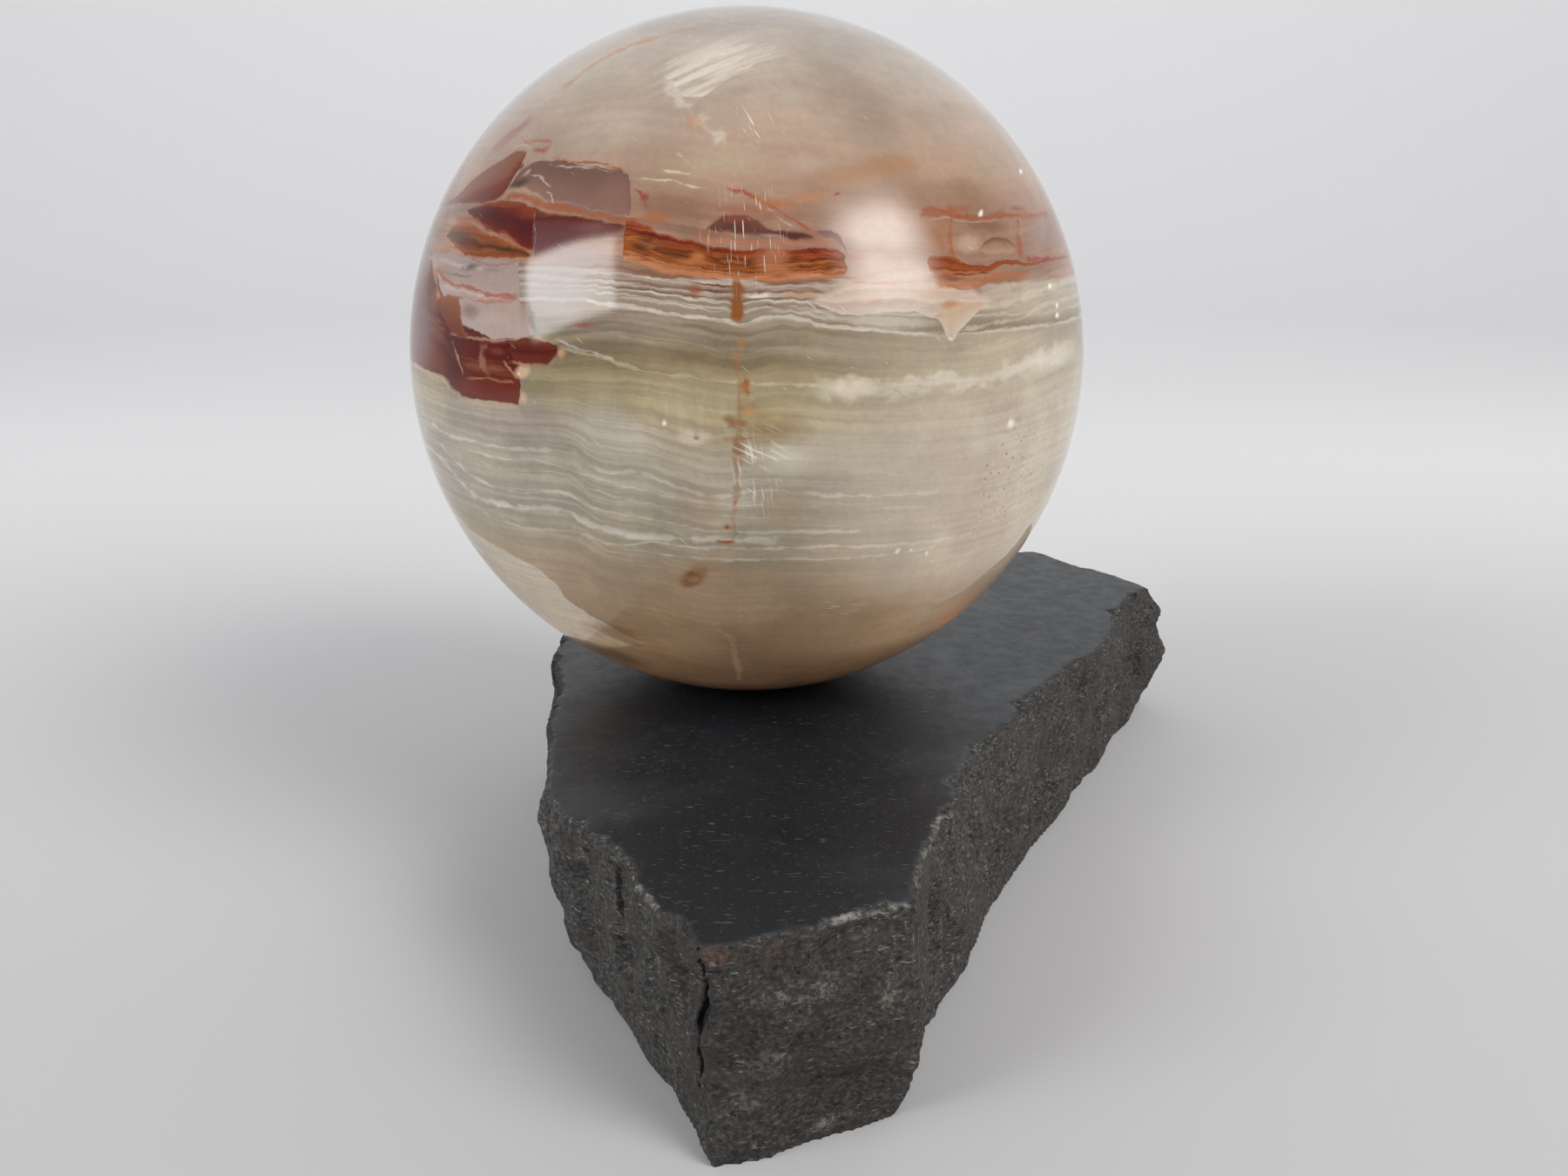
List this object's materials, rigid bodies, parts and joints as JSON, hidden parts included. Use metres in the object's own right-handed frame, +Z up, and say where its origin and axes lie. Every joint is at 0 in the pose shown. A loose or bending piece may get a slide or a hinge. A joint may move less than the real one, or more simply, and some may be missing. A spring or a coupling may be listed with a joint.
{
  "type": "onyx ball on slab stand",
  "caption": "Polished banded onyx ball resting in a shallow seat on a broken slab of dark stone with a honed flat top and rough split sides.",
  "frame": {"origin": "middle of the underside of the object's box, on the surface it stands on", "axes": "+Z up, -Y towards the near pointed end of the slab and the viewer, +X to the viewer's right"},
  "size_m": [0.1336, 0.1586, 0.1257],
  "materials": {
    "banded_onyx": "polished banded onyx, pale grey-green and cream layers with rust and dark red bands",
    "dark_stone": "dark grey fine-grained stone, honed on top and rough split on the sides"
  },
  "bodies": {
    "root": {"onyx_ball": "banded_onyx", "stone_slab": "dark_stone"}
  },
  "joints": []
}
